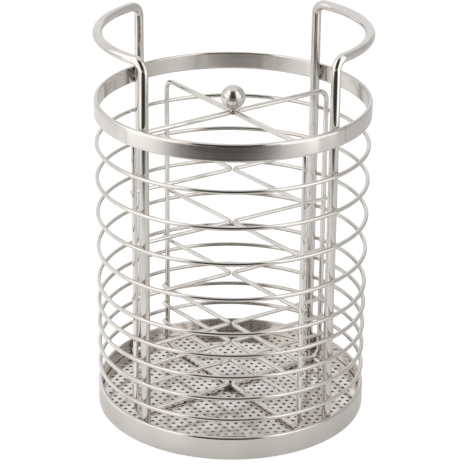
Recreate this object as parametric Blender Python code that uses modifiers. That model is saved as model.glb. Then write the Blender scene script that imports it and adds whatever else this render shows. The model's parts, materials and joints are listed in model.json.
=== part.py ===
"""Round cutlery drainer of stainless steel: a wire basket with two loop handles and a loose divider.

Frame: metres, +Z up. The origin is the centre of the circle on which the basket stands, and the two
handles face each other along X.
"""

import math

import bpy

# Metal that is welded or that rests on other metal keeps this gap to it
TOUCH_GAP = 0.0003
WELD_DISTANCE = 0.00001

# Bands: the flat hoops at the rim and at the foot
BASKET_DIAMETER = 0.130
BASKET_HEIGHT = 0.1575
BAND_WALL = 0.002
BAND_CHAMFER = 0.0004
TOP_BAND_WIDTH = 0.0085
BOTTOM_BAND_WIDTH = 0.0115
BAND_STEPS = 72

# Base plate: a disc inside the bottom band, with every second hole of every second real row
PLATE_THICKNESS = 0.001
PLATE_LIFT = 0.0035
PLATE_TURN = math.radians(3.4)
HOLE_DIAMETER = 0.0018
HOLE_PITCH = 0.0079
HOLE_MARGIN = 0.001
HOLE_SIDES = 6

# Wire rings round the legs: close together below, wider apart above
RING_WIRE = 0.002
CLOSE_RINGS = 5
WIDE_RINGS = 4
CLOSE_RING_PITCH = 0.01105
LOWEST_RING_DROP = 0.009
HIGHEST_RING_DROP = 0.0143
RING_POINTS = 40
RING_SIDES = 8

# Handles: each is one thick wire, two legs and the loop between them
HANDLE_WIRE = 0.0045
HANDLE_RISE = 0.0333
HANDLE_BEND = 0.005
LEG_ANGLE = math.radians(45)
LOOP_POINTS = 18
HANDLE_SIDES = 10

# Divider: two folded frames back to back, with cross wires and a ball on top
DIVIDER_WIRE = 0.0025
CROSS_WIRE = 0.002
DIVIDER_HEIGHT = 0.1457
DIVIDER_CLEARANCE = 0.00145
DIVIDER_TURN = math.radians(-13)
FOLD_ANGLE = math.radians(90)
FRAME_BEND = 0.005
CROSS_SETBACK = 0.0012
CLOSE_CROSSES = 3
WIDE_CROSSES = 3
CLOSE_CROSS_PITCH = 0.0100
LOWEST_CROSS_DROP = 0.0134
HIGHEST_CROSS_DROP = 0.0287
DIVIDER_SIDES = 8
BALL_DIAMETER = 0.0115
BALL_SEGMENTS = 20
BALL_RINGS = 12

# Round bends and folds in a wire
BEND_POINTS = 5
FOLD_POINTS = 6

BASKET_RADIUS = BASKET_DIAMETER / 2
BAND_INSIDE = BASKET_RADIUS - BAND_WALL
TOP_BAND_BASE = BASKET_HEIGHT - TOP_BAND_WIDTH
PLATE_TOP = PLATE_LIFT + PLATE_THICKNESS
PLATE_RADIUS = BAND_INSIDE - TOUCH_GAP
LEG_RADIUS = BAND_INSIDE - TOUCH_GAP - HANDLE_WIRE / 2
LEG_FOOT = PLATE_TOP + TOUCH_GAP
RING_RADIUS = LEG_RADIUS + HANDLE_WIRE / 2 + TOUCH_GAP + RING_WIRE / 2
LOWEST_RING = BOTTOM_BAND_WIDTH + LOWEST_RING_DROP
HIGHEST_RING = TOP_BAND_BASE - HIGHEST_RING_DROP
LOOP_HEIGHT = BASKET_HEIGHT + HANDLE_RISE - HANDLE_WIRE / 2
LOOP_REACH = BASKET_RADIUS - HANDLE_WIRE / 2
FRAME_REACH = LEG_RADIUS - HANDLE_WIRE / 2 - DIVIDER_CLEARANCE - DIVIDER_WIRE / 2
CROSS_REACH = FRAME_REACH + DIVIDER_WIRE / 2 - CROSS_SETBACK
DIVIDER_BASE = PLATE_TOP + TOUCH_GAP
FRAME_BOTTOM = DIVIDER_WIRE / 2
FRAME_TOP = DIVIDER_HEIGHT - DIVIDER_WIRE / 2
LOWEST_CROSS = FRAME_BOTTOM + LOWEST_CROSS_DROP
HIGHEST_CROSS = FRAME_TOP - HIGHEST_CROSS_DROP
BALL_HEIGHT = FRAME_TOP + DIVIDER_WIRE / 2 + TOUCH_GAP + BALL_DIAMETER / 2


def clear_scene():
    """Removes every object of the scene that the script starts in."""
    for thing in list(bpy.data.objects):
        bpy.data.objects.remove(thing)


def steel(name, color, roughness):
    """A bare stainless steel, as bright as color and as matt as roughness."""
    material = bpy.data.materials.new(name)
    material.use_nodes = True
    shader = material.node_tree.nodes["Principled BSDF"]
    shader.inputs["Base Color"].default_value = (*color, 1)
    shader.inputs["Roughness"].default_value = roughness
    shader.inputs["Metallic"].default_value = 1
    return material


def put(name, data, material, parent, location=(0, 0, 0), turn=0):
    """Adds a named object to the drainer's collection, at its place under its parent."""
    thing = bpy.data.objects.new(name, data)
    if not data.materials:
        data.materials.append(material)
    thing.parent = parent
    thing.location = location
    thing.rotation_euler.z = turn
    drainer.objects.link(thing)
    return thing


def put_empty(name, location, turn):
    """Adds an empty that carries one body: the basket, or the divider that lifts out of it."""
    empty = bpy.data.objects.new(name, None)
    empty.location = location
    empty.rotation_euler.z = turn
    drainer.objects.link(empty)
    return empty


def wire_curve(name, places, diameter, sides, closed):
    """A wire along a list of places, with an even number of sides, closed or with flat filled ends."""
    curve = bpy.data.curves.new(name, "CURVE")
    curve.dimensions = "3D"
    curve.bevel_depth = diameter / 2
    curve.bevel_resolution = sides // 2 - 2
    curve.use_fill_caps = True
    spline = curve.splines.new("POLY")
    spline.points.add(len(places) - 1)
    for point, place in zip(spline.points, places):
        point.co = (*place, 1)
    spline.use_cyclic_u = closed
    return curve


def circle(radius, count, height=0):
    """Places at even steps round a circle about the Z axis, from +X."""
    angles = [2 * math.pi * step / count for step in range(count)]
    return [(radius * math.cos(angle), radius * math.sin(angle), height) for angle in angles]


def quarter_bend(radius):
    """Steps along a quarter bend: how far it has run on, and how far it has risen, from start to end."""
    angles = [math.pi / 2 * step / BEND_POINTS for step in range(BEND_POINTS + 1)]
    return [(radius * (1 - math.cos(angle)), radius * math.sin(angle)) for angle in angles]


def band(name, base, width, parent, material):
    """A flat hoop with chamfered edges: its section turned once round the axis."""
    outside, inside = BASKET_RADIUS, BAND_INSIDE
    top = base + width
    section = [
        (outside, top - BAND_CHAMFER),
        (outside, base + BAND_CHAMFER),
        (outside - BAND_CHAMFER, base),
        (inside + BAND_CHAMFER, base),
        (inside, base + BAND_CHAMFER),
        (inside, top - BAND_CHAMFER),
        (inside + BAND_CHAMFER, top),
        (outside - BAND_CHAMFER, top),
    ]
    count = len(section)
    mesh = bpy.data.meshes.new(name + "_section")
    edges = [(corner, (corner + 1) % count) for corner in range(count)]
    mesh.from_pydata([(across, 0, height) for across, height in section], edges, [])
    guide = bpy.data.objects.new(name + "_guide", mesh)
    drainer.objects.link(guide)
    screw = guide.modifiers.new("Turn", "SCREW")
    screw.steps = BAND_STEPS
    screw.render_steps = BAND_STEPS
    screw.use_merge_vertices = True
    screw.merge_threshold = WELD_DISTANCE
    hoop = bpy.data.meshes.new_from_object(guide.evaluated_get(bpy.context.evaluated_depsgraph_get()))
    bpy.data.objects.remove(guide)
    hoop.shade_smooth()
    hoop.set_sharp_from_angle(angle=math.radians(30))
    return put(name, hoop, material, parent)


def hole_centres():
    """Centres of the plate's holes: rows a sixth of a turn apart, out to the margin at the edge."""
    reach = PLATE_RADIUS - HOLE_MARGIN - HOLE_DIAMETER / 2
    row_pitch = HOLE_PITCH * math.sin(math.pi / 3)
    rows = int(reach / row_pitch)
    columns = int(reach / HOLE_PITCH) + 1
    centres = []
    for row in range(-rows, rows + 1):
        for column in range(-columns, columns + 1):
            across = HOLE_PITCH * (column + (row % 2) / 2)
            along = row_pitch * row
            if math.hypot(across, along) <= reach:
                centres.append((across, along))
    return centres


def base_plate(parent, material):
    """The perforated disc: one flat outline with its holes, as thick as the sheet."""
    curve = bpy.data.curves.new("base_plate", "CURVE")
    curve.dimensions = "2D"
    curve.fill_mode = "BOTH"
    curve.extrude = PLATE_THICKNESS / 2
    outlines = [circle(PLATE_RADIUS, BAND_STEPS)]
    for across, along in hole_centres():
        hole = circle(HOLE_DIAMETER / 2, HOLE_SIDES)
        outlines.append([(x + across, y + along, z) for x, y, z in hole])
    for outline in outlines:
        spline = curve.splines.new("POLY")
        spline.points.add(len(outline) - 1)
        for point, place in zip(spline.points, outline):
            point.co = (*place, 1)
        spline.use_cyclic_u = True
    middle = (0, 0, PLATE_LIFT + PLATE_THICKNESS / 2)
    return put("base_plate", curve, material, parent, middle, PLATE_TURN)


def ring_heights():
    """Heights of the wire rings from the foot up: evenly close ones, then evenly wide ones."""
    close = [LOWEST_RING + CLOSE_RING_PITCH * step for step in range(CLOSE_RINGS)]
    wide_pitch = (HIGHEST_RING - close[-1]) / WIDE_RINGS
    return close + [close[-1] + wide_pitch * (step + 1) for step in range(WIDE_RINGS)]


def wire_rings(parent, material):
    """The closed rings that are welded to the outside of the legs."""
    curve = wire_curve("wire_ring", circle(RING_RADIUS, RING_POINTS), RING_WIRE, RING_SIDES, True)
    for number, height in enumerate(ring_heights(), 1):
        put(f"wire_ring_{number}", curve, material, parent, (0, 0, height))


def handle_places():
    """The handle's centre line: up one leg, round the loop and down the other leg.

    Seen from above, the loop is an arc through both legs that bulges out to the rim. The bends at
    its ends are rolled to the same arc, so they rise and run on at once.
    """
    leg_across = LEG_RADIUS * math.cos(LEG_ANGLE)
    leg_along = LEG_RADIUS * math.sin(LEG_ANGLE)
    bulge = LOOP_REACH - leg_across
    arc_radius = (leg_along**2 + bulge**2) / (2 * bulge)
    arc_centre = LOOP_REACH - arc_radius
    half_angle = math.atan2(leg_along, leg_across - arc_centre)
    half_length = arc_radius * half_angle

    def on_arc(run, height):
        angle = run / arc_radius - half_angle
        return (arc_centre + arc_radius * math.cos(angle), arc_radius * math.sin(angle), height)

    places = [on_arc(0, LEG_FOOT)]
    for run, rise in quarter_bend(HANDLE_BEND):
        places.append(on_arc(run, LOOP_HEIGHT - HANDLE_BEND + rise))
    loop_length = 2 * (half_length - HANDLE_BEND)
    for step in range(1, LOOP_POINTS):
        places.append(on_arc(HANDLE_BEND + loop_length * step / LOOP_POINTS, LOOP_HEIGHT))
    for run, rise in reversed(quarter_bend(HANDLE_BEND)):
        places.append(on_arc(2 * half_length - run, LOOP_HEIGHT - HANDLE_BEND + rise))
    places.append(on_arc(2 * half_length, LEG_FOOT))
    return places


def handles(parent, material):
    """The two handles, which are alike and face each other."""
    curve = wire_curve("handle", handle_places(), HANDLE_WIRE, HANDLE_SIDES, False)
    put("right_handle", curve, material, parent)
    put("left_handle", curve, material, parent, turn=math.pi)


def folded_line(reach, beside, diameter):
    """A wire's fold, seen from above, as (length along it, length before the fold, function of place).

    The two arms leave the axis on either side of +X, and pass the places that lie at reach along the
    fold's arms and beside them on the inner side. The round of the fold brings the wire's outer face
    to half a touching gap from the axis, where it meets the opposite fold.
    """
    lean = math.atan2(beside, reach)
    half_fold = FOLD_ANGLE / 2 - lean
    arm_length = math.hypot(beside, reach)
    tip = (diameter + TOUCH_GAP) / 2
    radius = tip / (1 / math.sin(half_fold) - 1)
    straight = arm_length - radius / math.tan(half_fold)
    round_length = radius * (math.pi - 2 * half_fold)

    def place(run):
        side = -1 if run < straight + round_length / 2 else 1
        from_end = min(run, 2 * straight + round_length - run)
        if from_end <= straight:
            out = arm_length - from_end
            return (out * math.cos(half_fold), side * out * math.sin(half_fold))
        angle = (run - straight - round_length / 2) / radius
        middle = radius / math.sin(half_fold)
        return (middle - radius * math.cos(angle), radius * math.sin(angle))

    return 2 * straight + round_length, straight, place


def fold_runs(length, straight):
    """Lengths along a folded wire at which its round fold is drawn."""
    steps = range(FOLD_POINTS + 1)
    return [straight + (length - 2 * straight) * step / FOLD_POINTS for step in steps]


def frame_places():
    """A folded frame's centre line: a closed rectangle with round corners, folded on its middle line."""
    length, straight, place = folded_line(FRAME_REACH, 0, DIVIDER_WIRE)
    lower, upper = FRAME_BOTTOM + FRAME_BEND, FRAME_TOP - FRAME_BEND
    bend = quarter_bend(FRAME_BEND)
    folds = fold_runs(length, straight)
    flat = [(run, upper + rise) for run, rise in bend]
    flat += [(run, FRAME_TOP) for run in folds]
    flat += [(length - run, upper + rise) for run, rise in reversed(bend)]
    flat += [(length - run, lower - rise) for run, rise in bend]
    flat += [(run, FRAME_BOTTOM) for run in reversed(folds)]
    flat += [(run, lower - rise) for run, rise in reversed(bend)]
    return [(*place(run), height) for run, height in flat]


def cross_places():
    """A cross wire's centre line, level: from beside one upright, round the fold, to beside the other."""
    beside = (DIVIDER_WIRE + CROSS_WIRE) / 2 + TOUCH_GAP
    length, straight, place = folded_line(CROSS_REACH, beside, CROSS_WIRE)
    runs = [0, *fold_runs(length, straight), length]
    return [(*place(run), 0) for run in runs]


def cross_heights():
    """Heights of the cross wires in the divider: evenly close ones, then evenly wide ones."""
    close = [LOWEST_CROSS + CLOSE_CROSS_PITCH * step for step in range(CLOSE_CROSSES)]
    wide_pitch = (HIGHEST_CROSS - close[-1]) / WIDE_CROSSES
    return close + [close[-1] + wide_pitch * (step + 1) for step in range(WIDE_CROSSES)]


def divider_frames(parent, material):
    """The two folded frames, back to back on the axis."""
    curve = wire_curve("divider_frame", frame_places(), DIVIDER_WIRE, DIVIDER_SIDES, True)
    put("divider_frame_right", curve, material, parent)
    put("divider_frame_left", curve, material, parent, turn=math.pi)


def cross_wires(parent, material):
    """The level cross wires, welded inside the fold of each frame."""
    curve = wire_curve("cross_wire", cross_places(), CROSS_WIRE, DIVIDER_SIDES, False)
    for number, height in enumerate(cross_heights(), 1):
        put(f"cross_wire_right_{number}", curve, material, parent, (0, 0, height))
        put(f"cross_wire_left_{number}", curve, material, parent, (0, 0, height), math.pi)


def ball_knob(parent, material):
    """The polished ball by which the divider is lifted."""
    bpy.ops.mesh.primitive_uv_sphere_add(
        segments=BALL_SEGMENTS,
        ring_count=BALL_RINGS,
        radius=BALL_DIAMETER / 2,
    )
    sphere = bpy.context.object
    mesh = sphere.data
    bpy.data.objects.remove(sphere)
    mesh.name = "ball_knob"
    mesh.shade_smooth()
    return put("ball_knob", mesh, material, parent, (0, 0, BALL_HEIGHT))


def build_basket():
    """The basket: what stands on the table, all welded into one body."""
    satin = steel("satin_steel", (0.66, 0.64, 0.62), 0.32)
    bright = steel("bright_wire", (0.78, 0.77, 0.75), 0.16)
    sheet = steel("perforated_sheet", (0.68, 0.67, 0.65), 0.28)
    basket = put_empty("basket", (0, 0, 0), 0)
    band("bottom_band", 0, BOTTOM_BAND_WIDTH, basket, satin)
    band("top_band", TOP_BAND_BASE, TOP_BAND_WIDTH, basket, satin)
    base_plate(basket, sheet)
    wire_rings(basket, bright)
    handles(basket, bright)


def build_divider():
    """The divider: it stands loose on the base plate, and lifts straight up."""
    bright = steel("divider_wire", (0.76, 0.75, 0.73), 0.2)
    polished = steel("polished_ball", (0.8, 0.78, 0.76), 0.1)
    divider = put_empty("divider", (0, 0, DIVIDER_BASE), DIVIDER_TURN)
    divider_frames(divider, bright)
    cross_wires(divider, bright)
    ball_knob(divider, polished)


clear_scene()
drainer = bpy.data.collections.new("cutlery_drainer")
bpy.context.scene.collection.children.link(drainer)
build_basket()
build_divider()
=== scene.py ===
# %% [markdown]
# # A round cutlery drainer of stainless steel
#
# The drainer is a wire basket with a perforated base, two loop handles and a loose divider that
# lifts out by its ball. Almost all of it is round wire, so this lesson is about one idea: a wire
# is a circle carried along a line. Each line is worked out with numpy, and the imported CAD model
# says where everything sits.

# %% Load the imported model
import json
import math

import bpy
import numpy as np
from mathutils import Matrix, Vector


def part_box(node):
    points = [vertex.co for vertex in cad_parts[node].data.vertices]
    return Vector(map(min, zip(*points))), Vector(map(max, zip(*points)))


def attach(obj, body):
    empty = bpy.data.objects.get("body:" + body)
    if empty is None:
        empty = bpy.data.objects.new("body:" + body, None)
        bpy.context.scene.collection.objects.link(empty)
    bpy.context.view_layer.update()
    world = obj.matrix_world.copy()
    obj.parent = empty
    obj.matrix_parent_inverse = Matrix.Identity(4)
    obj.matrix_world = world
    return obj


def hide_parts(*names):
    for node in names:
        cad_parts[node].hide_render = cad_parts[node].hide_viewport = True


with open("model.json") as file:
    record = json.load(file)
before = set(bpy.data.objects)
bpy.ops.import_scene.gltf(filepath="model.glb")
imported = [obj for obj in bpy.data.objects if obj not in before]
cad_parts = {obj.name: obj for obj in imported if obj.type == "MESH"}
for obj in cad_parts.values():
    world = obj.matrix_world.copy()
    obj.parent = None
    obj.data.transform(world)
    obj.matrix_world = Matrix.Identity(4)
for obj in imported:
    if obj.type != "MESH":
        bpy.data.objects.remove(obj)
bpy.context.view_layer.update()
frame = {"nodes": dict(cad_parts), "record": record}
scene = bpy.context.scene

# %% [markdown]
# ## Sizes
#
# The thickness of each wire and the small gap that stands for a weld are the driving sizes. The
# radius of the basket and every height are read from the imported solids, so a piece made here
# always lies where its solid lies. A radius that nothing shows directly follows from its
# neighbours: the legs lie inside the bands, and the rings lie outside the legs.

# %% Driving sizes, in metres
TOUCH_GAP = 0.0003
BAND_WALL = 0.002
HANDLE_WIRE = 0.0045
LEG_ANGLE = math.radians(45)
RING_WIRE = 0.002
DIVIDER_WIRE = 0.0025
CROSS_WIRE = 0.002
CROSS_SETBACK = 0.0012
DIVIDER_CLEARANCE = 0.00145
DIVIDER_TURN = math.radians(-13)

basket_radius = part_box("top_band")[1].x
band_inside = basket_radius - BAND_WALL
leg_radius = band_inside - TOUCH_GAP - HANDLE_WIRE / 2
ring_radius = leg_radius + HANDLE_WIRE / 2 + TOUCH_GAP + RING_WIRE / 2
frame_reach = leg_radius - HANDLE_WIRE / 2 - DIVIDER_CLEARANCE - DIVIDER_WIRE / 2
cross_reach = frame_reach + DIVIDER_WIRE / 2 - CROSS_SETBACK
print("basket radius", round(basket_radius, 4), "leg radius", round(leg_radius, 5))

# %% [markdown]
# ## The camera
#
# The picture is taken with a long lens from a little above the rim. The camera stands slightly to
# one side of the drainer's own front, because the handles are turned a few degrees in the picture,
# and it is rolled by less than a degree.

# %% Stand the camera
CAMERA_TURN = math.radians(-4)
CAMERA_SIDE = 0.00150
CAMERA_BACK = 0.9040
CAMERA_HEIGHT = 0.4786
CAMERA_ELEVATION = math.radians(23.45)
CAMERA_ROLL = math.radians(0.60)
LENS_MM = 157.35
SENSOR_MM = 36

camera_data = bpy.data.cameras.new("camera")
camera_data.lens = LENS_MM
camera_data.sensor_width = SENSOR_MM
camera = bpy.data.objects.new("camera", camera_data)
camera.matrix_world = (
    Matrix.Rotation(CAMERA_TURN, 4, "Z")
    @ Matrix.Translation((CAMERA_SIDE, -CAMERA_BACK, CAMERA_HEIGHT))
    @ Matrix.Rotation(math.pi / 2 - CAMERA_ELEVATION, 4, "X")
    @ Matrix.Rotation(CAMERA_ROLL, 4, "Z")
)
scene.collection.objects.link(camera)
scene.camera = camera
print("camera at", [round(value, 3) for value in camera.matrix_world.translation])

# %% [markdown]
# ## From a grid of points to a piece
#
# Every wire and hoop here is a grid: rows follow the wire, and columns go round its section. The
# UV map holds real lengths in metres, along and across the surface. A drawn or brushed grain then
# has the right size on every piece, and follows it round each bend.

# %% Grid helpers
def grid_faces(rows, columns, rows_closed):
    """Four-sided faces of a grid whose columns wrap, as vertex numbers and as (row, column) corners."""
    row = np.arange(rows if rows_closed else rows - 1)
    column = np.arange(columns)
    steps = np.array([[0, 0], [1, 0], [1, 1], [0, 1]])
    starts = np.stack(np.meshgrid(row, column, indexing="ij"), axis=-1)
    corners = starts.reshape(-1, 1, 2) + steps
    numbers = corners[..., 0] % rows * columns + corners[..., 1] % columns
    return numbers, corners


def signed_volume(points, faces):
    """Six times the volume inside four-sided faces: the sum of the triple products of their halves."""
    a, b, c, d = (points[faces[:, corner]] for corner in range(4))
    return np.sum(a * np.cross(b, c)) + np.sum(a * np.cross(c, d))


def grid_mesh(name, points, along, across, rows_closed):
    """A mesh from a grid of points (rows, columns, 3) whose columns go round a closed section.

    along and across are the UV lengths of the rows and columns, with one more where the grid
    wraps. A grid that is open at its ends gets one flat face at each.
    """
    rows, columns = points.shape[:2]
    flat_points = points.reshape(-1, 3)
    numbers, corners = grid_faces(rows, columns, rows_closed)
    inside_out = signed_volume(flat_points, numbers) < 0
    if inside_out:
        numbers, corners = numbers[:, ::-1], corners[:, ::-1]
    uv = np.stack([along[corners[..., 0]], across[corners[..., 1]]], axis=-1).reshape(-1, 2)
    faces = numbers.tolist()
    if not rows_closed:
        first = np.arange(columns)
        last = first + (rows - 1) * columns
        faces += [(first if inside_out else first[::-1]).tolist()]
        faces += [(last[::-1] if inside_out else last).tolist()]
        uv = np.concatenate([uv, np.zeros((2 * columns, 2))])
    mesh = bpy.data.meshes.new(name)
    mesh.from_pydata(flat_points.tolist(), [], faces)
    layer = mesh.uv_layers.new(name="lengths")
    layer.data.foreach_set("uv", uv.astype(np.float32).ravel())
    mesh.shade_smooth()
    return mesh


def add_piece(mesh, material, body, slot, *nodes):
    """Puts a finished mesh in the scene on its body, in place of the CAD nodes that it stands for."""
    mesh.materials.append(material)
    piece = bpy.data.objects.new(mesh.name, mesh)
    scene.collection.objects.link(piece)
    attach(piece, body)
    if nodes:
        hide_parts(*nodes)
    return piece


# %% [markdown]
# ## A wire is a circle carried along a line
#
# All the wires of the drainer lie on upright surfaces: a handle on a round one, a divider frame
# on a folded one. So the direction that points off that surface is square to the wire everywhere,
# and each circle can start from it without ever twisting. Where a wire is cut off, its edge is
# rounded, as a tumbled or polished end is.

# %% Carry a circle along a line
ROUND_STEPS = 20
END_STEPS = 5
END_SHARE = 0.3


def lengths_along(places, closed):
    """The distance run at each place of a line, and back at its start if it is closed."""
    ends = np.concatenate([places, places[:1]]) if closed else places
    steps = np.linalg.norm(np.diff(ends, axis=0), axis=1)
    return np.concatenate([[0], np.cumsum(steps)])


def carried_circle(name, places, off, radii, closed, round_steps=ROUND_STEPS):
    """Circles along a line: place + radius * (cos(a) * off + sin(a) * over), with a going once round.

    off points off the surface that the line lies on, and over is square to it and to the line.
    """
    if closed:
        run = np.roll(places, -1, axis=0) - np.roll(places, 1, axis=0)
    else:
        run = np.gradient(places, axis=0)
    over = np.cross(run, off)
    over /= np.linalg.norm(over, axis=1, keepdims=True)
    angles = np.linspace(0, 2 * math.pi, round_steps + 1)
    cosines = np.cos(angles[:-1])[None, :, None]
    sines = np.sin(angles[:-1])[None, :, None]
    circles = cosines * off[:, None] + sines * over[:, None]
    points = places[:, None] + radii[:, None, None] * circles
    return grid_mesh(name, points, lengths_along(places, closed), radii.max() * angles, closed)


def wire_mesh(name, places, off, thickness, closed=False, swell=0):
    """A round wire along a line. swell is how much thicker it is at each place, as a share.

    An open end is rounded: a quarter circle of END_SHARE of the radius runs from the side to the end.
    """
    radii = thickness / 2 * (1 + swell) * np.ones(len(places))
    if not closed:
        quarter = np.linspace(math.pi / 2, 0, END_STEPS)
        edge = END_SHARE * thickness / 2
        setback = (edge * (1 - np.sin(quarter)))[:, None]
        rim = thickness / 2 - edge * (1 - np.cos(quarter))
        ahead = (places[1] - places[0]) / np.linalg.norm(places[1] - places[0])
        behind = (places[-2] - places[-1]) / np.linalg.norm(places[-2] - places[-1])
        head = places[0] + ahead * setback
        tail = (places[-1] + behind * setback)[::-1]
        ends = np.repeat(off[[0, -1]], END_STEPS, axis=0)
        places = np.concatenate([head, places[1:-1], tail])
        off = np.concatenate([ends[:END_STEPS], off[1:-1], ends[END_STEPS:]])
        radii = np.concatenate([rim, radii[1:-1], rim[::-1]])
    return carried_circle(name, places, off, radii, closed)


def turned(vectors, angle):
    """The vectors turned about Z: (x cos - y sin, x sin + y cos, z)."""
    cosine, sine = math.cos(angle), math.sin(angle)
    return vectors @ np.array([[cosine, sine, 0], [-sine, cosine, 0], [0, 0, 1]])


# %% [markdown]
# ## Shader nodes in few words
#
# A finish is a tree of shader nodes, and so are the studio's room and floor. A few helpers keep
# the trees short: each adds one node, takes plain values or the sockets of other nodes, and gives
# back the socket that the next node reads.

# %% Helpers for shader nodes
MIX_SOCKETS = {"FLOAT": (2, 3, 0), "RGBA": (6, 7, 2)}


def add_node(tree, kind, settings=(), values=()):
    """Adds a shader node, with (attribute, value) settings and (socket, value) inputs."""
    node = tree.nodes.new(kind)
    for attribute, value in settings:
        setattr(node, attribute, value)
    for socket, value in values:
        node.inputs[socket].default_value = value
    return node


def set_or_link(tree, socket, value):
    """Puts a number or a colour on a socket, or links another node's output to it."""
    if isinstance(value, bpy.types.NodeSocket):
        tree.links.new(value, socket)
    else:
        socket.default_value = value


def calculated(tree, operation, first, second):
    """One Math node on two values, each a socket or a number."""
    node = add_node(tree, "ShaderNodeMath", [("operation", operation)])
    set_or_link(tree, node.inputs[0], first)
    set_or_link(tree, node.inputs[1], second)
    return node.outputs["Value"]


def blended(tree, kind, factor, first, second):
    """One Mix node: first + factor * (second - first), on numbers (FLOAT) or colours (RGBA).

    Its sockets share their names, so MIX_SOCKETS numbers them: both inputs and the output.
    """
    first_input, second_input, output = MIX_SOCKETS[kind]
    node = add_node(tree, "ShaderNodeMix", [("data_type", kind)])
    set_or_link(tree, node.inputs["Factor"], factor)
    set_or_link(tree, node.inputs[first_input], first)
    set_or_link(tree, node.inputs[second_input], second)
    return node.outputs[output]


def soft_step(tree, value, start, stop, low=0.0, high=1.0):
    """A value that goes softly from low to high as another passes from start to stop."""
    step = add_node(
        tree,
        "ShaderNodeMapRange",
        [("interpolation_type", "SMOOTHSTEP")],
        [("From Min", start), ("From Max", stop), ("To Min", low), ("To Max", high)],
    )
    tree.links.new(value, step.inputs["Value"])
    return step.outputs["Result"]


print("a Mix node on colours uses the sockets", MIX_SOCKETS["RGBA"])

# %% [markdown]
# ## Grain and handling marks
#
# Stainless steel is never a flat mirror. Wire is drawn through a die, which leaves fine lines
# along it, and a band is brushed lengthwise. Hands and racks leave faint cloudy marks, where the
# surface is a little less bright. Both effects go into several finishes, so each is a node group
# that gives one mask, and every finish uses it with its own sizes.

# %% Node groups for grain and marks
GRAIN_DETAIL = 3.0
MARK_DETAIL = 4.0
MARK_START = 0.42
MARK_FULL = 0.68


def new_group(name, inputs, output):
    """An empty node group with named inputs and one output, as (tree, input node, output node)."""
    tree = bpy.data.node_groups.new(name, "ShaderNodeTree")
    for socket, kind, value in inputs:
        made = tree.interface.new_socket(socket, in_out="INPUT", socket_type=kind)
        if kind == "NodeSocketFloat":
            made.default_value = value
    tree.interface.new_socket(output, in_out="OUTPUT", socket_type="NodeSocketFloat")
    return tree, tree.nodes.new("NodeGroupInput"), tree.nodes.new("NodeGroupOutput")


def grain_group():
    """Fine lines: noise that is stretched to Line Length by Line Width, with a mask from 0 to 1."""
    inputs = [
        ("Vector", "NodeSocketVector", None),
        ("Line Length", "NodeSocketFloat", 0.02),
        ("Line Width", "NodeSocketFloat", 0.0002),
    ]
    tree, start, end = new_group("grain", inputs, "Lines")
    size = add_node(tree, "ShaderNodeCombineXYZ", values=[("Z", 1.0)])
    scaled = add_node(tree, "ShaderNodeVectorMath", [("operation", "DIVIDE")])
    noise = add_node(tree, "ShaderNodeTexNoise", values=[("Scale", 1.0), ("Detail", GRAIN_DETAIL)])
    tree.links.new(start.outputs["Line Length"], size.inputs["X"])
    tree.links.new(start.outputs["Line Width"], size.inputs["Y"])
    tree.links.new(start.outputs["Vector"], scaled.inputs[0])
    tree.links.new(size.outputs["Vector"], scaled.inputs[1])
    tree.links.new(scaled.outputs["Vector"], noise.inputs["Vector"])
    tree.links.new(noise.outputs["Fac"], end.inputs["Lines"])
    return tree


def marks_group():
    """Cloudy patches of about Patch Size: noise, softly cut to 0 at MARK_START and 1 at MARK_FULL."""
    inputs = [("Vector", "NodeSocketVector", None), ("Patch Size", "NodeSocketFloat", 0.02)]
    tree, start, end = new_group("handling_marks", inputs, "Marks")
    scaled = add_node(tree, "ShaderNodeVectorMath", [("operation", "DIVIDE")])
    noise = add_node(tree, "ShaderNodeTexNoise", values=[("Scale", 1.0), ("Detail", MARK_DETAIL)])
    tree.links.new(start.outputs["Vector"], scaled.inputs[0])
    tree.links.new(start.outputs["Patch Size"], scaled.inputs[1])
    tree.links.new(scaled.outputs["Vector"], noise.inputs["Vector"])
    patches = soft_step(tree, noise.outputs["Fac"], MARK_START, MARK_FULL)
    tree.links.new(patches, end.inputs["Marks"])
    return tree


grain_tree = grain_group()
marks_tree = marks_group()
print("node groups", grain_tree.name, marks_tree.name)

# %% [markdown]
# ## One recipe for every steel
#
# A finish is bare metal with its own brightness, grain and polish. The grain raises the surface
# by a few thousandths of a millimetre and makes it a little rougher along its lines, and the
# marks dull it in patches. Grain reads the piece's own UV lengths, and marks read its place on
# the object, so that a mark runs over neighbouring wires as a hand does.

# %% Steel finishes
QUARTER_TURN = 0.25
LINES_SHARE = 0.5
MARKS_SHARE = 0.5


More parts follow.
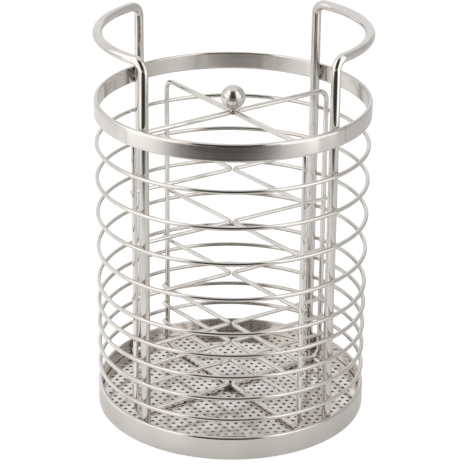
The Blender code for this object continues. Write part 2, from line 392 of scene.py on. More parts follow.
def steel_finish(name, bright, dull, roughness, line_size, relief, patch_size, brushed=0.0):
    """A stainless steel: bright and dull colours, (least, most) roughness, grain (length, width).

    Its roughness follows LINES_SHARE * lines + MARKS_SHARE * marks. brushed is how much more a
    reflection spreads across the grain than along it.
    """
    material = bpy.data.materials.new(name)
    material.use_nodes = True
    tree = material.node_tree
    shader = tree.nodes["Principled BSDF"]
    shader.inputs["Metallic"].default_value = 1
    if brushed:
        along_map = [("direction_type", "UV_MAP"), ("uv_map", "lengths")]
        tangent = add_node(tree, "ShaderNodeTangent", along_map)
        shader.inputs["Anisotropic"].default_value = brushed
        shader.inputs["Anisotropic Rotation"].default_value = QUARTER_TURN
        tree.links.new(tangent.outputs["Tangent"], shader.inputs["Tangent"])
    place = add_node(tree, "ShaderNodeTexCoord")
    lengths = add_node(tree, "ShaderNodeUVMap", [("uv_map", "lengths")])
    line_values = [("Line Length", line_size[0]), ("Line Width", line_size[1])]
    grain = add_node(tree, "ShaderNodeGroup", [("node_tree", grain_tree)], line_values)
    marks = add_node(tree, "ShaderNodeGroup", [("node_tree", marks_tree)], [("Patch Size", patch_size)])
    tree.links.new(lengths.outputs["UV"], grain.inputs["Vector"])
    tree.links.new(place.outputs["Object"], marks.inputs["Vector"])
    colour = blended(tree, "RGBA", marks.outputs["Marks"], (*bright, 1), (*dull, 1))
    lines_part = calculated(tree, "MULTIPLY", grain.outputs["Lines"], LINES_SHARE)
    marks_part = calculated(tree, "MULTIPLY", marks.outputs["Marks"], MARKS_SHARE)
    least, most = roughness
    rough = add_node(tree, "ShaderNodeMapRange", values=[("To Min", least), ("To Max", most)])
    bump = add_node(tree, "ShaderNodeBump", values=[("Strength", 1.0), ("Distance", relief)])
    tree.links.new(calculated(tree, "ADD", lines_part, marks_part), rough.inputs["Value"])
    tree.links.new(grain.outputs["Lines"], bump.inputs["Height"])
    tree.links.new(colour, shader.inputs["Base Color"])
    tree.links.new(rough.outputs["Result"], shader.inputs["Roughness"])
    tree.links.new(bump.outputs["Normal"], shader.inputs["Normal"])
    return material


STEEL_BRIGHT = (0.76, 0.725, 0.69)
STEEL_DULL = (0.68, 0.645, 0.61)
SHEET_BRIGHT = (0.82, 0.79, 0.755)
SHEET_DULL = (0.74, 0.71, 0.675)
# The divider's two colours are the wire steel painted lighter: painted light, so that its wires look
# more brightly lit than the basket's.
DIVIDER_LIT_BRIGHT = (0.85, 0.82, 0.785)
DIVIDER_LIT_DULL = (0.77, 0.74, 0.705)
WELD_COLOUR = (0.60, 0.565, 0.52)

band_steel = steel_finish(
    "brushed_band", STEEL_BRIGHT, STEEL_DULL, (0.11, 0.23), (0.040, 0.0012), 0.000008, 0.030, 0.7
)
ring_steel = steel_finish(
    "drawn_wire", STEEL_BRIGHT, STEEL_DULL, (0.05, 0.18), (0.012, 0.00020), 0.000002, 0.018
)
handle_steel = steel_finish(
    "polished_wire", STEEL_BRIGHT, STEEL_DULL, (0.05, 0.18), (0.015, 0.00030), 0.000002, 0.025
)
# The divider's finish carries painted light: a lighter copy of the wire steel.
divider_lit_steel = steel_finish(
    "divider_wire", DIVIDER_LIT_BRIGHT, DIVIDER_LIT_DULL, (0.04, 0.14), (0.012, 0.00020), 0.000001, 0.018
)
weld_steel = steel_finish(
    "weld_metal", WELD_COLOUR, STEEL_DULL, (0.25, 0.45), (0.0006, 0.0006), 0.000060, 0.004
)
ball_steel = steel_finish(
    "polished_ball", STEEL_BRIGHT, STEEL_DULL, (0.17, 0.26), (0.006, 0.00015), 0.000001, 0.006
)
sheet_steel = steel_finish(
    "perforated_sheet", SHEET_BRIGHT, SHEET_DULL, (0.07, 0.19), (0.020, 0.00020), 0.000001, 0.016
)
finishes = [band_steel, ring_steel, handle_steel, divider_lit_steel, weld_steel, ball_steel, sheet_steel]
print("finishes", [finish.name for finish in finishes])

# %% [markdown]
# ## The rim and foot bands
#
# Each band is a flat strip that is rolled to a circle and butt welded. Its edges are rounded so
# that they are kind to hands, most of all at the top outside. That edge shows a line of light at
# the sides and a dark line at the front. The weld is ground flush, so only a fine groove shows,
# where the section draws in a little.

# %% Roll the bands
UPPER_EDGES = (0.00125, 0.00070)
LOWER_EDGES = (0.00070, 0.00070)
EDGE_STEPS = 8
FLAT_SHARES = np.array([0.04, 0.35, 0.65, 0.96])
BAND_STEPS = 360
SEAM_STEPS = 25
SEAM_REACH = 3
SEAM_WIDTH = 0.00022
SEAM_DEPTH = 0.00030
RIM_SEAM = math.radians(-42.5)
FOOT_SEAM = math.radians(128)


def strip_section(low, high):
    """The section of a band as (radius, height): corner centre + edge * (cos a, sin a), and flats.

    UPPER_EDGES and LOWER_EDGES are (outer, inner) rounding radii.
    """
    edges = np.array([*UPPER_EDGES, *LOWER_EDGES[::-1]])[:, None]
    corners = np.array(
        [[basket_radius, high], [band_inside, high], [band_inside, low], [basket_radius, low]]
    )
    centres = corners + edges * np.array([[-1, -1], [1, -1], [1, 1], [-1, 1]])
    starts = np.arange(4)[:, None] * math.pi / 2
    angles = starts + np.linspace(0, math.pi / 2, EDGE_STEPS)
    rounds = centres[:, None] + edges[:, None] * np.stack([np.cos(angles), np.sin(angles)], axis=-1)
    gaps = np.roll(rounds[:, 0], -1, axis=0) - rounds[:, -1]
    flats = rounds[:, -1:] + FLAT_SHARES[None, :, None] * gaps[:, None]
    return np.concatenate([rounds, flats], axis=1).reshape(-1, 2)


def hoop_mesh(name, low, high, seam):
    """A band: its section turned about Z, drawn in towards its middle at the seam.

    The draw is SEAM_DEPTH * exp(-(distance to the seam / SEAM_WIDTH) ** 2). SEAM_STEPS close rows
    carry it, up to SEAM_REACH widths to either side.
    """
    section = strip_section(low, high)
    even = np.linspace(0, 2 * math.pi, BAND_STEPS, endpoint=False)
    close = seam + np.linspace(-SEAM_REACH, SEAM_REACH, SEAM_STEPS) * SEAM_WIDTH / basket_radius
    angles = np.unique(np.concatenate([even, close]) % (2 * math.pi))
    away = np.angle(np.exp(1j * (angles - seam))) * basket_radius
    draw = SEAM_DEPTH * np.exp(-((away / SEAM_WIDTH) ** 2))[:, None]
    middle = section.mean(axis=0)
    inward = np.sign(middle - section) * np.minimum(1, abs(middle - section) / (BAND_WALL / 2))
    radius = section[:, 0] + draw * inward[:, 0]
    height = section[:, 1] + draw * inward[:, 1]
    cosines, sines = np.cos(angles)[:, None], np.sin(angles)[:, None]
    points = np.stack([radius * cosines, radius * sines, height], axis=-1)
    around = np.append(angles, angles[0] + 2 * math.pi) * basket_radius
    ring = np.column_stack([section, np.zeros(len(section))])
    return grid_mesh(name, points, around, lengths_along(ring, True), True)


for name, node, seam in (("rim_band", "top_band", RIM_SEAM), ("foot_band", "bottom_band", FOOT_SEAM)):
    low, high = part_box(node)
    piece = add_piece(hoop_mesh(name, low.z, high.z, seam), band_steel, "basket", "satin_band", node)
    print(name, len(piece.data.polygons), "faces")

# %% [markdown]
# ## The wire rings
#
# Nine rings run round the outside of the legs. Each is bent from straight wire and closed with a
# butt weld, which leaves a slight swelling. The swellings are spread over the back, as a maker
# would turn them away from the front.

# %% Bend the rings
RING_STEPS = 288
BUTT_SWELL = 0.07
BUTT_WIDTH = 0.0012
FIRST_BUTT = math.radians(72)
BUTT_STEP = math.radians(5)

ring_nodes = [name for name in frame["record"]["behaviour"]["bodies"]["basket"] if "ring" in name]
ring_angles = np.linspace(0, 2 * math.pi, RING_STEPS, endpoint=False)
ring_off = np.column_stack([np.cos(ring_angles), np.sin(ring_angles), np.zeros(RING_STEPS)])
ring_heights = []
for number, node in enumerate(ring_nodes, 1):
    low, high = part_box(node)
    height = (low.z + high.z) / 2
    ring_heights.append(height)
    away = np.angle(np.exp(1j * (ring_angles - FIRST_BUTT - number * BUTT_STEP))) * ring_radius
    swell = BUTT_SWELL * np.exp(-((away / BUTT_WIDTH) ** 2))
    places = ring_off * ring_radius + [0, 0, height]
    mesh = wire_mesh(f"ring_{number}", places, ring_off, RING_WIRE, True, swell)
    add_piece(mesh, ring_steel, "basket", "basket_wire", node)
print("rings at", [round(1000 * height, 1) for height in ring_heights], "mm")

# %% [markdown]
# ## Flat patterns
#
# A maker bends a handle or a frame flat first: straight runs joined by round bends. The pattern
# is a list of (run, height) places. It is then rolled or folded, which moves each place sideways
# but keeps its height, so the pattern and the line that it is rolled along stay apart here too.

# %% Straight runs and bends of a flat pattern
BEND_STEPS = 14
LEG_STEPS = 40
BAR_STEPS = 64


def straight(start, stop, steps):
    """Even places from start to stop in a flat pattern."""
    return np.linspace(start, stop, steps)


def bend(centre, radius, start, stop):
    """A round bend in a flat pattern: centre + radius * (cos a, sin a), with a in degrees."""
    angles = np.radians(np.linspace(start, stop, BEND_STEPS))
    return centre + radius * np.column_stack([np.cos(angles), np.sin(angles)])


def joined(*stretches):
    """Stretches one after another, each without its first place, which the one before ends on."""
    return np.concatenate([stretches[0], *(stretch[1:] for stretch in stretches[1:])])


print("a bend of 5 mm starts at", bend(np.zeros(2), 0.005, 180, 90)[0].round(4))

# %% [markdown]
# ## The handles
#
# A handle is one thick wire. Its two legs stand on the base plate inside the bands, and its top
# bar is rolled outwards, so that from above it follows the rim. The plan is an arc through both
# legs that just reaches the outside of the basket.

# %% Roll the handles
HANDLE_BEND = 0.005

foot, top = (corner.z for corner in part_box("right_handle"))
loop_height = top - HANDLE_WIRE / 2
leg_across = leg_radius * math.cos(LEG_ANGLE)
leg_along = leg_radius * math.sin(LEG_ANGLE)
bulge = basket_radius - HANDLE_WIRE / 2 - leg_across
arc_radius = (leg_along**2 + bulge**2) / (2 * bulge)
arc_centre = leg_across + bulge - arc_radius
half_length = arc_radius * math.atan2(leg_along, leg_across - arc_centre)


def rolled(pattern):
    """Carries a flat pattern onto the handle's arc: centre + radius * (cos, sin) of run / radius."""
    angles = (pattern[:, 0] - half_length) / arc_radius
    off = np.column_stack([np.cos(angles), np.sin(angles), np.zeros(len(angles))])
    places = off * arc_radius + [arc_centre, 0, 0]
    places[:, 2] = pattern[:, 1]
    return places, off


bend_height = loop_height - HANDLE_BEND
far = 2 * half_length
handle_pattern = joined(
    straight((0, foot), (0, bend_height), LEG_STEPS),
    bend((HANDLE_BEND, bend_height), HANDLE_BEND, 180, 90),
    straight((HANDLE_BEND, loop_height), (far - HANDLE_BEND, loop_height), BAR_STEPS),
    bend((far - HANDLE_BEND, bend_height), HANDLE_BEND, 90, 0),
    straight((far, bend_height), (far, foot), LEG_STEPS),
)
handle_places, handle_off = rolled(handle_pattern)
for name, node, turn in (("right_loop", "right_handle", 0), ("left_loop", "left_handle", math.pi)):
    mesh = wire_mesh(name, turned(handle_places, turn), turned(handle_off, turn), HANDLE_WIRE)
    add_piece(mesh, handle_steel, "basket", "handle_wire", node)
print("handle wire", round(1000 * lengths_along(handle_places, False)[-1]), "mm long")

# %% [markdown]
# ## The divider
#
# The divider is two closed frames, each folded along its upright middle line, welded back to back
# so that they make a cross. Level cross wires are folded the same way and welded inside each
# fold. The fold is a small round: its outside just meets the other frame on the axis.

# %% Fold the frames and their cross wires
FOLD_ANGLE = math.radians(90)
FRAME_BEND = 0.005
FOLD_STEPS = 12


def fold_plan(reach, beside, thickness):
    """A folded line seen from above, as (its length, the round's length, function of the run).

    Each arm points at the place that lies at reach along a frame's arm and beside it. A place is
    middle + radius * normal + (run past the round) * arm, and the normal turns only in the round.
    """
    lean = math.atan2(beside, reach)
    half_fold = FOLD_ANGLE / 2 - lean
    tip = (thickness + TOUCH_GAP) / 2
    radius = tip / (1 / math.sin(half_fold) - 1)
    arm = math.hypot(beside, reach) - radius / math.tan(half_fold)
    round_length = radius * (math.pi - 2 * half_fold)
    middle = radius / math.sin(half_fold)

    def place(run, height):
        past_middle = run - arm - round_length / 2
        angle = np.clip(past_middle, -round_length / 2, round_length / 2) / radius
        side = np.sign(past_middle)
        beyond = np.maximum(0, abs(past_middle) - round_length / 2)
        off = np.column_stack([-np.cos(angle), np.sin(angle), np.zeros(len(run))])
        places = radius * off
        places[:, 0] += middle + beyond * math.cos(half_fold)
        places[:, 1] += beyond * side * math.sin(half_fold)
        places[:, 2] = height
        return places, off

    return 2 * arm + round_length, round_length, place


def folded_bar(length, round_length, inset, steps=BAR_STEPS):
    """Runs along a level bar between its bends, close together in the fold."""
    arm_end = (length - round_length) / 2
    arm = np.linspace(inset, arm_end, steps // 2)
    fold = np.linspace(arm_end, length - arm_end, FOLD_STEPS)
    return np.concatenate([arm, fold[1:-1], length - arm[::-1]])


def frame_line(low, high):
    """A frame's centre line: a closed rectangle with round corners, then folded."""
    length, round_length, place = fold_plan(frame_reach, 0, DIVIDER_WIRE)
    base, peak = low + DIVIDER_WIRE / 2, high - DIVIDER_WIRE / 2
    bar = folded_bar(length, round_length, FRAME_BEND)
    near, far = FRAME_BEND, length - FRAME_BEND
    lower, upper = base + FRAME_BEND, peak - FRAME_BEND
    pattern = joined(
        straight((0, lower), (0, upper), LEG_STEPS),
        bend((near, upper), FRAME_BEND, 180, 90),
        np.column_stack([bar, np.full(len(bar), peak)]),
        bend((far, upper), FRAME_BEND, 90, 0),
        straight((length, upper), (length, lower), LEG_STEPS),
        bend((far, lower), FRAME_BEND, 0, -90),
        np.column_stack([bar[::-1], np.full(len(bar), base)]),
        bend((near, lower), FRAME_BEND, 270, 180),
    )[:-1]
    return place(pattern[:, 0], pattern[:, 1])


def cross_line(height):
    """A cross wire's centre line: level, from beside one upright round the fold to beside the other."""
    beside = (DIVIDER_WIRE + CROSS_WIRE) / 2 + TOUCH_GAP
    length, round_length, place = fold_plan(cross_reach, beside, CROSS_WIRE)
    runs = folded_bar(length, round_length, 0)
    return place(runs, height)


SIDE_TURNS = {"right": DIVIDER_TURN, "left": DIVIDER_TURN + math.pi}
cross_nodes = [name for name in frame["nodes"] if name.startswith("cross_wire")]
for side, turn in SIDE_TURNS.items():
    node = f"divider_frame_{side}"
    low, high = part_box(node)
    places, off = (turned(vectors, turn) for vectors in frame_line(low.z, high.z))
    mesh = wire_mesh(f"folded_frame_{side}", places, off, DIVIDER_WIRE, True)
    add_piece(mesh, divider_lit_steel, "divider", "divider_wire", node)
for node in cross_nodes:
    side, number = node.split("_")[2:]
    low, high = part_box(node)
    places, off = (turned(vectors, SIDE_TURNS[side]) for vectors in cross_line((low.z + high.z) / 2))
    mesh = wire_mesh(f"rung_{side}_{number}", places, off, CROSS_WIRE)
    add_piece(mesh, divider_lit_steel, "divider", "divider_wire", node)
print("cross wires", len(cross_nodes))

# %% [markdown]
# ## The ball
#
# The ball is a circle carried up its own axis, as wide as the ball is at each height. Below it, a
# small collar of weld metal spreads onto the crossing of the two frames.

# %% Turn the ball
BALL_STEPS = 48
COLLAR_RADIUS = 0.0017
COLLAR_FOOT = 0.0024
COLLAR_STEPS = 6
POLE = 0.00002

low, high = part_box("ball_knob")
ball_radius = (high.z - low.z) / 2
ball_centre = (high.z + low.z) / 2
bars_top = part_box("divider_frame_right")[1].z
neck = math.asin(COLLAR_RADIUS / ball_radius)
polar = np.linspace(neck, math.pi, BALL_STEPS)
ball_profile = np.column_stack([ball_radius * np.sin(polar), ball_centre - ball_radius * np.cos(polar)])
sink = np.linspace(1, 0, COLLAR_STEPS)[:-1]
collar_radii = COLLAR_RADIUS + (COLLAR_FOOT - COLLAR_RADIUS) * sink**2
collar_heights = ball_profile[0, 1] - (ball_profile[0, 1] - bars_top + DIVIDER_WIRE / 2) * sink
profile = np.concatenate([np.column_stack([collar_radii, collar_heights]), ball_profile])
axis_places = np.column_stack([np.zeros((len(profile), 2)), profile[:, 1]])
axis_off = np.tile([1.0, 0.0, 0.0], (len(profile), 1))
turned_radii = np.maximum(profile[:, 0], POLE)
mesh = carried_circle("lift_ball", axis_places, axis_off, turned_radii, False, BALL_STEPS)
add_piece(mesh, ball_steel, "divider", "polished_ball", "ball_knob")
print("ball", round(2000 * ball_radius, 2), "mm across")

# %% [markdown]
# ## The base plate
#
# The base is a punched disc. Its holes stand in staggered rows, a sixth of a turn apart, and they
# run almost to the edge. A flat curve with every hole as an outline of its own is the short way
# to make it: the curve fills the sheet between them, and its bevel rolls each edge a little.

# %% Punch the base plate
HOLE_DIAMETER = 0.0018
HOLE_PITCH = 0.00395
HOLE_MARGIN = 0.001
HOLE_SIDES = 10
RIM_SIDES = 180
SHEET_TURN = math.radians(3.4)
PUNCH_EDGE = 0.0001
SHARP_ANGLE = math.radians(30)

low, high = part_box("base_plate")
sheet_radius = band_inside - TOUCH_GAP


def outline(curve, centre, radius, sides):
    """Adds a round outline to a flat curve: centre + radius * (cos a, sin a)."""
    angles = np.linspace(0, 2 * math.pi, sides, endpoint=False)
    points = np.zeros((sides, 4))
    points[:, 0] = centre[0] + radius * np.cos(angles)
    points[:, 1] = centre[1] + radius * np.sin(angles)
    points[:, 3] = 1
    spline = curve.splines.new("POLY")
    spline.points.add(sides - 1)
    spline.points.foreach_set("co", points.ravel())
    spline.use_cyclic_u = True


def hole_centres(reach):
    """Staggered rows: (pitch * (column + half of an odd row), pitch * row * sin 60), turned."""
    count = int(reach / HOLE_PITCH / math.sin(math.pi / 3)) + 1
    row, column = np.meshgrid(np.arange(-count, count + 1), np.arange(-count, count + 1))
    across = HOLE_PITCH * (column + row % 2 / 2)
    along = HOLE_PITCH * math.sin(math.pi / 3) * row
    centres = np.stack([across, along, 0 * along], axis=-1).reshape(-1, 3)
    inside = np.hypot(centres[:, 0], centres[:, 1]) <= reach
    return turned(centres[inside], SHEET_TURN)


curve = bpy.data.curves.new("sheet_outline", "CURVE")
curve.dimensions = "2D"
curve.fill_mode = "BOTH"
curve.extrude = (high.z - low.z) / 2 - PUNCH_EDGE
curve.bevel_depth = PUNCH_EDGE
curve.bevel_resolution = 0
curve.offset = -PUNCH_EDGE
outline(curve, (0, 0), sheet_radius, RIM_SIDES)
centres = hole_centres(sheet_radius - HOLE_MARGIN - HOLE_DIAMETER / 2)
for centre in centres:
    outline(curve, centre, HOLE_DIAMETER / 2, HOLE_SIDES)
holder = bpy.data.objects.new("sheet_outline", curve)
scene.collection.objects.link(holder)
sheet = bpy.data.meshes.new_from_object(holder.evaluated_get(bpy.context.evaluated_depsgraph_get()))
bpy.data.objects.remove(holder)
sheet.transform(Matrix.Translation((0, 0, (high.z + low.z) / 2)))
sheet.name = "punched_sheet"
layer = sheet.uv_layers.new(name="lengths")
corner_points = np.empty(len(sheet.vertices) * 3, np.float32)
sheet.vertices.foreach_get("co", corner_points)
corner_numbers = np.empty(len(sheet.loops), np.int32)
sheet.loops.foreach_get("vertex_index", corner_numbers)
layer.data.foreach_set("uv", corner_points.reshape(-1, 3)[corner_numbers, :2].ravel())
sheet.shade_smooth()
sheet.set_sharp_from_angle(angle=SHARP_ANGLE)
add_piece(sheet, sheet_steel, "basket", "perforated_sheet", "base_plate")
print("holes", len(centres), "faces", len(sheet.polygons))

# %% [markdown]
# ## The welds
#
# Every crossing is spot welded. The wires here keep the small weld gap, and a bead of metal
# bridges it and fills the corner between them. A bead is a squashed ball with its own reach
# outwards, sideways and upwards. All beads of one body are one mesh, worked out together.

# %% Set the weld beads
BEAD_ROWS = 7
BEAD_COLUMNS = 12
CROSSING_BEAD = (0.0009, 0.0015, 0.0011)
BAND_BEAD = (0.0007, 0.0016, 0.0022)
FOOT_BEAD = (0.0031, 0.0031, 0.0007)
RUNG_BEAD = (0.0009, 0.0011, 0.0011)
FRAME_BEAD = (0.0014, 0.0027, 0.0012)
TACK_BEAD = (0.0012, 0.0022, 0.0007)


def beads_at(angles, radii, heights, reach):
    """Bead places round the Z axis, with the direction off it and (outward, sideways, upward) reach."""
    angles, radii, heights = np.broadcast_arrays(angles, radii, heights)
    off = np.stack([np.cos(angles), np.sin(angles), np.zeros_like(angles)], axis=-1).reshape(-1, 3)
    places = off * radii.reshape(-1, 1)
    places[:, 2] = heights.ravel()
    return places, off, np.tile(reach, (len(places), 1))


def bead_mesh(name, groups):
    """Beads in one mesh: place + a * off + b * side + c * up, with (a, b, c) on a ball times reach."""
    places, off, reach = (np.concatenate([group[part] for group in groups]) for part in range(3))
    side = np.cross([0, 0, 1], off)
    polar = np.linspace(0, math.pi, BEAD_ROWS + 2)[1:-1, None]
    around = np.linspace(0, 2 * math.pi, BEAD_COLUMNS, endpoint=False)
    ball = np.stack(
        [np.sin(polar) * np.cos(around), np.sin(polar) * np.sin(around), np.cos(polar) + 0 * around],
        axis=-1,
    ).reshape(-1, 3)
    a, b, c = (ball[None, :, axis, None] * reach[:, None, axis, None] for axis in range(3))
    points = places[:, None] + a * off[:, None] + b * side[:, None] + c * np.array([0, 0, 1])
    numbers, _ = grid_faces(BEAD_ROWS, BEAD_COLUMNS, False)
    cap = np.arange(BEAD_COLUMNS)
    shift = np.arange(len(places))[:, None, None] * len(ball)
    quads = (numbers + shift).reshape(-1, 4)
    heads = (cap[None, None] + shift).reshape(-1, BEAD_COLUMNS)
    tails = (cap[None, None, ::-1] + len(ball) - BEAD_COLUMNS + shift).reshape(-1, BEAD_COLUMNS)
    faces = quads.tolist() + heads.tolist() + tails.tolist()
    mesh = bpy.data.meshes.new(name)
    mesh.from_pydata(points.reshape(-1, 3).tolist(), [], faces)
    mesh.uv_layers.new(name="lengths")
    mesh.shade_smooth()
    return mesh


leg_angles = np.array([LEG_ANGLE, math.pi - LEG_ANGLE, math.pi + LEG_ANGLE, -LEG_ANGLE])
leg_outside = leg_radius + HANDLE_WIRE / 2 + TOUCH_GAP / 2
foot_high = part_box("bottom_band")[1]
rim_low, rim_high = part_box("top_band")
sheet_low, sheet_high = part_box("base_plate")
band_heights = np.array([(rim_low.z + rim_high.z) / 2, (sheet_high.z + foot_high.z) / 2])
basket_beads = [
    beads_at(leg_angles[:, None], leg_outside, np.array(ring_heights), CROSSING_BEAD),
    beads_at(leg_angles[:, None], leg_outside, band_heights, BAND_BEAD),
    beads_at(leg_angles, leg_radius, sheet_high.z, FOOT_BEAD),
    beads_at(leg_angles + math.pi / 4, band_inside, sheet_low.z, TACK_BEAD),
]
basket_mesh = bead_mesh("basket_welds", basket_beads)
add_piece(basket_mesh, weld_steel, "basket", "basket_wire")

arm_angles = DIVIDER_TURN + math.pi / 4 + np.arange(4) * math.pi / 2
inner_side = np.array([-1, 1, -1, 1])
beside = (DIVIDER_WIRE + TOUCH_GAP) / 2
rung_boxes = [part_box(node) for node in cross_nodes if "right" in node]
rung_heights = np.array([(low.z + high.z) / 2 for low, high in rung_boxes])
rung_angles = arm_angles + inner_side * math.atan2(beside, frame_reach)
frame_low, frame_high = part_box("divider_frame_right")
bar_heights = np.array([frame_low.z, frame_high.z]) + np.array([1, -1]) * DIVIDER_WIRE / 2
divider_beads = [
    beads_at(rung_angles[:, None], math.hypot(frame_reach, beside), rung_heights, RUNG_BEAD),
    beads_at(np.array([DIVIDER_TURN, DIVIDER_TURN])[:, None], 0, bar_heights, FRAME_BEAD),
]
divider_mesh = bead_mesh("divider_welds", divider_beads)
add_piece(divider_mesh, weld_steel, "divider", "divider_wire")
print("beads", len(basket_mesh.vertices) // (BEAD_ROWS * BEAD_COLUMNS), "in the basket")

# %% [markdown]
# ## The studio
#
# Bare metal shows its surroundings, so the surroundings are the picture. The drainer stands on a
# white sheet between upright soft boxes, with a pale card low on the left. The side where the
# camera stands is dark and a little warm. That dark side gives every wire the thin dark line that
# makes it look round. Camera rays see plain white, so the background stays clean from any side.

# %% Directions in the studio
def studio_parts(tree, vector):
    """Splits a vector into its parts to the camera's right, away from the camera and up."""
    turn = add_node(
        tree, "ShaderNodeVectorRotate", [("rotation_type", "Z_AXIS")], [("Angle", -CAMERA_TURN)]
    )
    parts = add_node(tree, "ShaderNodeSeparateXYZ")
    tree.links.new(vector, turn.inputs["Vector"])
    tree.links.new(turn.outputs["Vector"], parts.inputs["Vector"])
    return parts.outputs


# %% [markdown]
# The world shows three things. The camera sees plain white. Reflections see a bright room with a
# dark wedge towards the camera, which ends well below the zenith. Everything else gets even light.

# %% Build the world
WHITE = (1.0, 1.0, 1.0)
DARK_TINT = (1.0, 0.90, 0.80)
DARK_LEVEL = 0.05
LEFT_LEVEL = 0.87
RIGHT_LEVEL = 0.52
ROOM_LEVEL = 0.86
WEDGE_WIDTH = 0.45
WEDGE_SPREAD = 0.5
WEDGE_SHIFT = 0.055
WEDGE_SIDES = (0.48, 0.65)
WEDGE_TOP = (-0.32, -0.18)
DIM_SIDE = (0.30, 0.62)


def build_world():
    """White for the camera, a bright room with a dark wedge for reflections, even light otherwise.

    A direction lies beside the wedge where |across + shift| passes width + spread * (share towards
    the camera).
    """
    world = bpy.data.worlds.new("studio")
    world.use_nodes = True
    scene.world = world
    tree = world.node_tree
    tree.nodes.clear()
    place = add_node(tree, "ShaderNodeTexCoord")
    path = add_node(tree, "ShaderNodeLightPath")
    across, away, _ = studio_parts(tree, place.outputs["Generated"])
    ahead = calculated(tree, "MAXIMUM", calculated(tree, "MULTIPLY", away, -WEDGE_SPREAD), 0.0)
    width = calculated(tree, "ADD", ahead, WEDGE_WIDTH)
    off_middle = calculated(tree, "ABSOLUTE", calculated(tree, "ADD", across, WEDGE_SHIFT), 0.0)
    slant = calculated(tree, "DIVIDE", off_middle, width)
    open_side = soft_step(tree, slant, *WEDGE_SIDES)
    open_top = soft_step(tree, away, *WEDGE_TOP)
    beside = calculated(tree, "MAXIMUM", open_side, open_top)
    bright = soft_step(tree, across, *DIM_SIDE, LEFT_LEVEL, RIGHT_LEVEL)
    glossy, clear = path.outputs["Is Glossy Ray"], path.outputs["Is Transmission Ray"]
    mirror = calculated(tree, "MAXIMUM", glossy, clear)
    mirrored = blended(tree, "FLOAT", beside, DARK_LEVEL, bright)
    seen = blended(tree, "FLOAT", mirror, ROOM_LEVEL, mirrored)
    shown = blended(tree, "FLOAT", path.outputs["Is Camera Ray"], seen, 1.0)
    untinted = calculated(tree, "MAXIMUM", beside, calculated(tree, "SUBTRACT", 1.0, mirror))
    tint = blended(tree, "RGBA", untinted, (*DARK_TINT, 1), (*WHITE, 1))
    background = add_node(tree, "ShaderNodeBackground")
    output = add_node(tree, "ShaderNodeOutputWorld")
    tree.links.new(tint, background.inputs["Color"])
    tree.links.new(shown, background.inputs["Strength"])
    tree.links.new(background.outputs["Background"], output.inputs["Surface"])
    return world


scene.view_settings.view_transform = "Standard"
print("world", build_world().name)

# %% [markdown]
# The soft boxes stand close to the drainer, because only then does each wire show them at its own
# height. A ray goes on through an area light, so each box adds its own glow to the room behind.
# The lower ends of the boxes show in the rim, so each side is built of parts that end at
# different heights.

# %% Hang the soft boxes
SOFT_BOXES = {
    "left_soft_box": (-0.190, (-0.230, -0.030), (0.100, 0.55), 0.38),
    "left_skirt": (-0.190, (-0.230, -0.030), (0.080, 0.100), 0.16),
    "left_head": (-0.190, (-0.030, 0.030), (0.19, 0.55), 0.38),
    "left_card": (-0.150, (-0.026, 0.300), (0.0, 0.14), 0.14),
    "right_soft_box": (0.210, (-0.300, -0.100), (0.080, 0.60), 0.62),
    "right_head": (0.210, (-0.100, -0.040), (0.100, 0.60), 0.62),
}


def build_soft_box(name, across, away, up, glow):
    """An upright area light beside the drainer, from (start, stop) away from the camera and up.

    Its power is 4 * glow * width * height, which adds glow to whatever is seen through it.
    """
    light = bpy.data.lights.new(name, "AREA")
    light.shape = "RECTANGLE"
    light.size = away[1] - away[0]
    light.size_y = up[1] - up[0]
    light.energy = 4 * glow * light.size * light.size_y
    box = bpy.data.objects.new(name, light)
    box.matrix_world = (
        Matrix.Rotation(CAMERA_TURN, 4, "Z")
        @ Matrix.Translation((across, sum(away) / 2, sum(up) / 2))
        @ Matrix.Rotation(math.copysign(math.pi / 2, across), 4, "Z")
        @ Matrix.Rotation(math.pi / 2, 4, "X")
    )
    box.visible_camera = False
    scene.collection.objects.link(box)
    return box


for name, values in SOFT_BOXES.items():
    print(name, round(build_soft_box(name, *values).data.energy, 3), "W")

# %% [markdown]
# The floor is a white sheet whose colour carries painted light and shade: it is painted brighter
# to the left of the drainer, where the left soft box lights it, and darker to its right and behind
# it, as a painted shadow of the drainer. For the camera most of its white is its own, with a share
# of real light, so that the shadow of the drainer stays on it. In reflections the sheet goes on at
# the sides, but it ends in front of the drainer, at a slant, and the dark room begins.

# %% Lay the floor
FLOOR_SIZE = 8.0
FLOOR_DROP = 0.00005
# The next five sizes paint light and shade into the floor's colour: lighter on the left, darker to the
# right of and behind the drainer, as a painted shadow.
FLOOR_PAINTED_LIGHT = 0.97
FLOOR_PAINTED_SHADE = 0.79
LIT_SIDE = (-0.045, -0.015)
BACK_PAINTED_SHADE = 0.89
BACK_SHADE_START = (0.02, 0.12)
FLOOR_WHITE = 0.74
SHADOW_SHARE = 0.55
SHEET_END = (-0.43, -0.27)
SHEET_SLANT = 0.18
SHEET_SIDES = (0.34, 0.50)


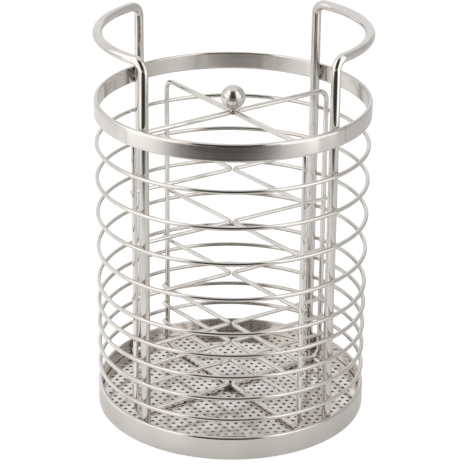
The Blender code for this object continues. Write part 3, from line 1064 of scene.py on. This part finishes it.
def build_floor():
    """A pale floor: diffuse for light, dark past its end for reflections, lifted for the camera."""
    material = bpy.data.materials.new("pale_floor")
    material.use_nodes = True
    tree = material.node_tree
    tree.nodes.clear()
    place = add_node(tree, "ShaderNodeTexCoord")
    path = add_node(tree, "ShaderNodeLightPath")
    across, away, _ = studio_parts(tree, place.outputs["Object"])
    beside = soft_step(tree, calculated(tree, "ABSOLUTE", across, 0.0), *SHEET_SIDES)
    slanted = calculated(tree, "ADD", away, calculated(tree, "MULTIPLY", across, SHEET_SLANT))
    sheet = calculated(tree, "MAXIMUM", soft_step(tree, slanted, *SHEET_END), beside)
    past_end = calculated(tree, "SUBTRACT", 1.0, sheet)
    # Painted light and shade: the floor's colour is lighter to the left and darker to the right of and
    # behind the drainer, a painted shadow of it.
    side = soft_step(tree, across, *LIT_SIDE, FLOOR_PAINTED_LIGHT, FLOOR_PAINTED_SHADE)
    painted_back_shade = soft_step(tree, away, *BACK_SHADE_START, 1.0, BACK_PAINTED_SHADE)
    diffuse = add_node(tree, "ShaderNodeBsdfDiffuse")
    tree.links.new(calculated(tree, "MULTIPLY", side, painted_back_shade), diffuse.inputs["Color"])
    glow = [("Color", (*WHITE, 1)), ("Strength", FLOOR_WHITE)]
    gloom = [("Color", (*DARK_TINT, 1)), ("Strength", DARK_LEVEL)]
    white = add_node(tree, "ShaderNodeEmission", values=glow)
    dark = add_node(tree, "ShaderNodeEmission", values=gloom)
    shaded = add_node(tree, "ShaderNodeMixShader", values=[("Fac", 1 - SHADOW_SHARE)])
    clear = add_node(tree, "ShaderNodeAddShader")
    shown = add_node(tree, "ShaderNodeMixShader")
    mixed = add_node(tree, "ShaderNodeMixShader")
    output = add_node(tree, "ShaderNodeOutputMaterial")
    tree.links.new(diffuse.outputs["BSDF"], shaded.inputs[1])
    tree.links.new(shaded.outputs["Shader"], clear.inputs[0])
    tree.links.new(white.outputs["Emission"], clear.inputs[1])
    tree.links.new(path.outputs["Is Camera Ray"], shown.inputs["Fac"])
    tree.links.new(diffuse.outputs["BSDF"], shown.inputs[1])
    tree.links.new(clear.outputs["Shader"], shown.inputs[2])
    dark_share = calculated(tree, "MULTIPLY", past_end, path.outputs["Is Glossy Ray"])
    tree.links.new(dark_share, mixed.inputs["Fac"])
    tree.links.new(shown.outputs["Shader"], mixed.inputs[1])
    tree.links.new(dark.outputs["Emission"], mixed.inputs[2])
    tree.links.new(mixed.outputs["Shader"], output.inputs["Surface"])
    half = FLOOR_SIZE / 2
    corners = [(-half, -half, -FLOOR_DROP), (half, -half, -FLOOR_DROP), (half, half, -FLOOR_DROP)]
    mesh = bpy.data.meshes.new("floor")
    mesh.from_pydata([*corners, (-half, half, -FLOOR_DROP)], [], [(0, 1, 2, 3)])
    mesh.materials.append(material)
    floor = bpy.data.objects.new("floor", mesh)
    scene.collection.objects.link(floor)
    return floor


print("floor", build_floor().name, FLOOR_SIZE, "m wide")
